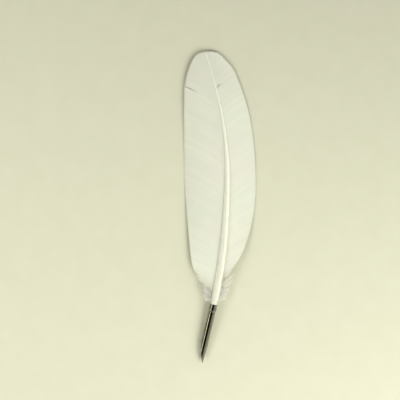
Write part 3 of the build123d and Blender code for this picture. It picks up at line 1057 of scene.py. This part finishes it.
def outer_angle(along):
    """Angle from the writing face to the metal's far edge: seam, eye, slot, scoop and point."""
    radius = float(nib_radius(along))
    past_eye = along - (NIB_LENGTH - EYE_BACK)
    half = SEAM_HALF
    if past_eye > -EYE_R:
        half = max(half, EYE_R if past_eye > 0 else sqrt(max(EYE_R**2 - past_eye**2, 0)))
    angle = pi - asin(half / radius)
    if along > SCOOP[0, 0]:
        edge = float(cubic(SCOOP[:, 0], SCOOP[:, 1], SCOOP_SLOPES, along))
        angle = min(angle, acos(np.clip(edge / radius, -1, 1)))
    back = NIB_LENGTH - along
    if back < SHOULDER_BACK:
        angle = min(angle, asin(min(point_half_width(back) / radius, 1)))
    return angle


def nib_stations(low, high):
    """Places along the nib, close together at the bead, the eye, the vent and the point."""
    stations = set(np.round(np.arange(low, high, NIB_STEP), 3))
    for centre, reach, step in FINE_PLACES:
        stations |= {round(s, 3) for s in np.arange(centre - reach, centre + reach, step)}
    kept = [low]
    for s in sorted(s for s in stations if low < s < high):
        if s - kept[-1] > NIB_LEAST_STEP:
            kept.append(s)
    return [*kept, high]


def nib_half(side, low, high):
    """Outer skin of one half of the nib as a grid: rows along it, columns from face to far edge."""
    stations = nib_stations(low, high)
    share = np.linspace(0, 1, NIB_COLUMNS + 1)
    rows, wear_and_highlight = [], []
    for along in stations:
        first, last = inner_angle(along), outer_angle(along)
        last = max(last, first + LEAST_METAL_ANGLE)
        rows.append(side * (first + (last - first) * share))
        near = np.minimum(share, 1 - share) * (last - first) * float(nib_radius(along))
        edge = np.exp(-((near / EDGE_RUB_WIDTH) ** 2))
        if first <= 1e-6:  # the two halves are one sheet here, with an edge on the far side only
            edge = np.where(share > 0.5, edge, 0)
        # painted highlight: the bead gets a pale band all round, kept with the rubbed edges
        bead = sin(pi * np.clip((along - COLLAR_LENGTH) / BEAD_LENGTH, 0, 1)) ** 2
        wear_and_highlight.append(np.maximum(edge, BEAD_PAINTED_HIGHLIGHT * bead))
    return np.array(stations), np.array(rows), np.array(wear_and_highlight)


def sheet_skins(halves):
    """Points of both skins, their edge wear and painted bead highlight, and the outer skin's faces, from
    one or two grids.
    """
    outer, inner, wear_and_highlight, skin = [], [], [], []
    index = {}
    for stations, angles, wear_and_highlight_grid in halves:
        radius = nib_radius(stations)[:, None]
        out = nib_point(radius, angles, stations[:, None])
        into = nib_point(radius - METAL, angles, stations[:, None])
        numbers = {}
        for place in np.ndindex(angles.shape):
            key = tuple(np.round(out[place], 5))
            if key not in index:
                index[key] = len(outer)
                outer.append(out[place])
                inner.append(into[place])
                wear_and_highlight.append(wear_and_highlight_grid[place])
            numbers[place] = index[key]
        flip = angles[0, -1] > angles[0, 0]
        for i, j in np.ndindex(angles.shape[0] - 1, angles.shape[1] - 1):
            face = (numbers[i, j], numbers[i, j + 1], numbers[i + 1, j + 1], numbers[i + 1, j])
            skin.append(face if flip else face[::-1])
    return outer, inner, wear_and_highlight, skin


def closed_sheet(name, halves, material):
    """Metal sheet of even thickness: outer skin, inner skin and the cut edges that join them."""
    outer, inner, wear_and_highlight, skin = sheet_skins(halves)
    total = len(outer)
    faces = skin + [tuple(total + v for v in reversed(face)) for face in skin]
    # a cut edge is a side of a face that no neighbour shares; a dictionary keeps them in order
    used = dict.fromkeys((a, b) for face in skin for a, b in zip(face, face[1:] + face[:1]))
    for a, b in used:
        if (b, a) not in used:
            faces.append((b, a, total + a, total + b))
    # the edge values also hold the bead's painted highlight
    values = (("edge", np.array(wear_and_highlight + wear_and_highlight) * WEAR_AND_HIGHLIGHT_STRENGTH),)
    piece = make_piece(name, np.array(outer + inner), faces, material, values)
    piece.data.set_sharp_from_angle(angle=SHARP_ANGLE)
    return piece


def make_nib():
    steel = steel_material()
    root = NIB_LENGTH - TINE_LENGTH
    halves = [nib_half(1, 0.0, root), nib_half(-1, 0.0, root)]
    barrel = closed_sheet("nib_barrel_steel", halves, steel)
    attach(barrel, "nib")
    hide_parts("nib_barrel")
    start = to_frame(RIM_CENTRE + NIB_AXIS * root)[0]
    end = to_frame(RIM_CENTRE + NIB_AXIS * (root + TINE_BLEND_LENGTH))[0]
    for name, side in (("left_tine", -1), ("right_tine", 1)):
        tine = closed_sheet(name + "_steel", [nib_half(side, root, NIB_LENGTH)], steel)
        tuple(start)
        tuple(end)
        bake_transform(tine)
        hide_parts("nib_" + name)


# ---------------------------------------------------------------- kept CAD nodes


def paint_kept_nodes():
    """The pith and the dry membranes keep their CAD shapes and get their own finish."""
    for node, material in (("rachis_pith", pith_material()), ("pulp_caps", membrane_material())):
        slots = frame["nodes"][node].data.materials
        slots.clear()
        slots.append(material)


# ---------------------------------------------------------------- studio

CAMERA_OVER = (-17.4, 6.4, 0.0)  # in the pen's own frame, millimetres
CAMERA_HEIGHT = 1.005  # this and everything below in metres
CAMERA_CLIP = 0.01
LENS = 101.5
SENSOR = 36.0
FLOOR_HALF = 1.6
# name, place, size, watts, colour, and whether polished surfaces mirror the light
LIGHTS = (
    ("key_light", (0.42, -0.44, 0.57), (0.50, 0.50), 5.9, (1.0, 0.995, 0.95), False),
    ("top_light", (-0.05, -0.40, 1.10), (0.90, 0.90), 1.0, (1.0, 0.995, 0.95), False),
    ("left_light", (-0.66, -0.30, 0.60), (0.60, 0.60), 3.0, (1.0, 0.99, 0.95), False),
    ("strip_light", (-0.66, 0.0, 0.60), (1.0, 0.22), 1.9, (1.0, 0.99, 0.94), True),
)
# how bright the surroundings are: from level up to overhead, and from the left round to the right
WORLD_HEIGHTS = ((0.0, 0.62), (0.5, 0.62), (0.74, 0.45), (0.83, 0.06), (0.92, 0.01))
WORLD_SIDES = ((0.0, 0.25), (0.35, 0.50), (0.60, 1.0), (1.0, 1.1))
WORLD_BLUE = 0.98


def make_camera():
    data = bpy.data.cameras.new("camera")
    data.lens = LENS
    data.sensor_width = SENSOR
    data.clip_start = CAMERA_CLIP
    camera = bpy.data.objects.new("camera", data)
    camera.location = (*to_frame(CAMERA_OVER)[0][:2], CAMERA_HEIGHT)
    bpy.context.scene.collection.objects.link(camera)
    bpy.context.scene.camera = camera


def make_light(name, place, size, power, colour, mirrored):
    """Soft rectangular light aimed at the pen."""
    data = bpy.data.lights.new(name, "AREA")
    data.shape = "RECTANGLE"
    data.size, data.size_y = size
    data.energy = power
    data.color = colour
    light = bpy.data.objects.new(name, data)
    light.location = place
    light.rotation_euler = (-Vector(place)).to_track_quat("-Z", "Y").to_euler()
    light.visible_glossy = mirrored
    bpy.context.scene.collection.objects.link(light)


def make_floor():
    half = FLOOR_HALF
    corners = [(-half, -half, 0), (half, -half, 0), (half, half, 0), (-half, half, 0)]
    mesh = bpy.data.meshes.new("floor")
    mesh.from_pydata(corners, [], [(0, 1, 2, 3)])
    mesh.materials.append(floor_material())
    floor = bpy.data.objects.new("floor", mesh)
    bpy.context.scene.collection.objects.link(floor)
    floor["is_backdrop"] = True


def make_world():
    """Pale surroundings, dark straight overhead and dim on the left, so round steel gets its bands."""
    world = bpy.data.worlds.new("studio")
    bpy.context.scene.world = world
    world.use_nodes = True
    tree = world.node_tree
    place = tree.nodes.new("ShaderNodeTexCoord")
    split = tree.nodes.new("ShaderNodeSeparateXYZ")
    tree.links.new(place.outputs["Generated"], split.inputs["Vector"])
    aside = tree.nodes.new("ShaderNodeMapRange")
    aside.inputs["From Min"].default_value = -1.0
    tree.links.new(split.outputs["X"], aside.inputs["Value"])
    product = tree.nodes.new("ShaderNodeMix")
    product.data_type = "RGBA"
    product.blend_type = "MULTIPLY"
    product.inputs[0].default_value = 1.0
    for source, levels, target in (
        (split.outputs["Z"], WORLD_HEIGHTS, product.inputs[6]),
        (aside.outputs["Result"], WORLD_SIDES, product.inputs[7]),
    ):
        ramp = tree.nodes.new("ShaderNodeValToRGB")
        marks = ramp.color_ramp.elements
        while len(marks) < len(levels):
            marks.new(0.5)
        for mark, (position, level) in zip(marks, levels):
            mark.position = position
            mark.color = (level, level, level * WORLD_BLUE, 1)
        tree.links.new(source, ramp.inputs["Fac"])
        tree.links.new(ramp.outputs["Color"], target)
    tree.links.new(product.outputs[2], tree.nodes["Background"].inputs["Color"])


def make_studio():
    make_camera()
    make_floor()
    make_world()
    for light in LIGHTS:
        make_light(*light)
    bpy.context.scene.view_settings.view_transform = "Standard"


make_vanes()
make_shaft()
make_all_down()
make_nib()
paint_kept_nodes()
make_studio()

boxes = {"cad": CAD_BOX, "visual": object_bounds()}
{key: [list(map(float, corner)) for corner in box] for key, box in boxes.items()}
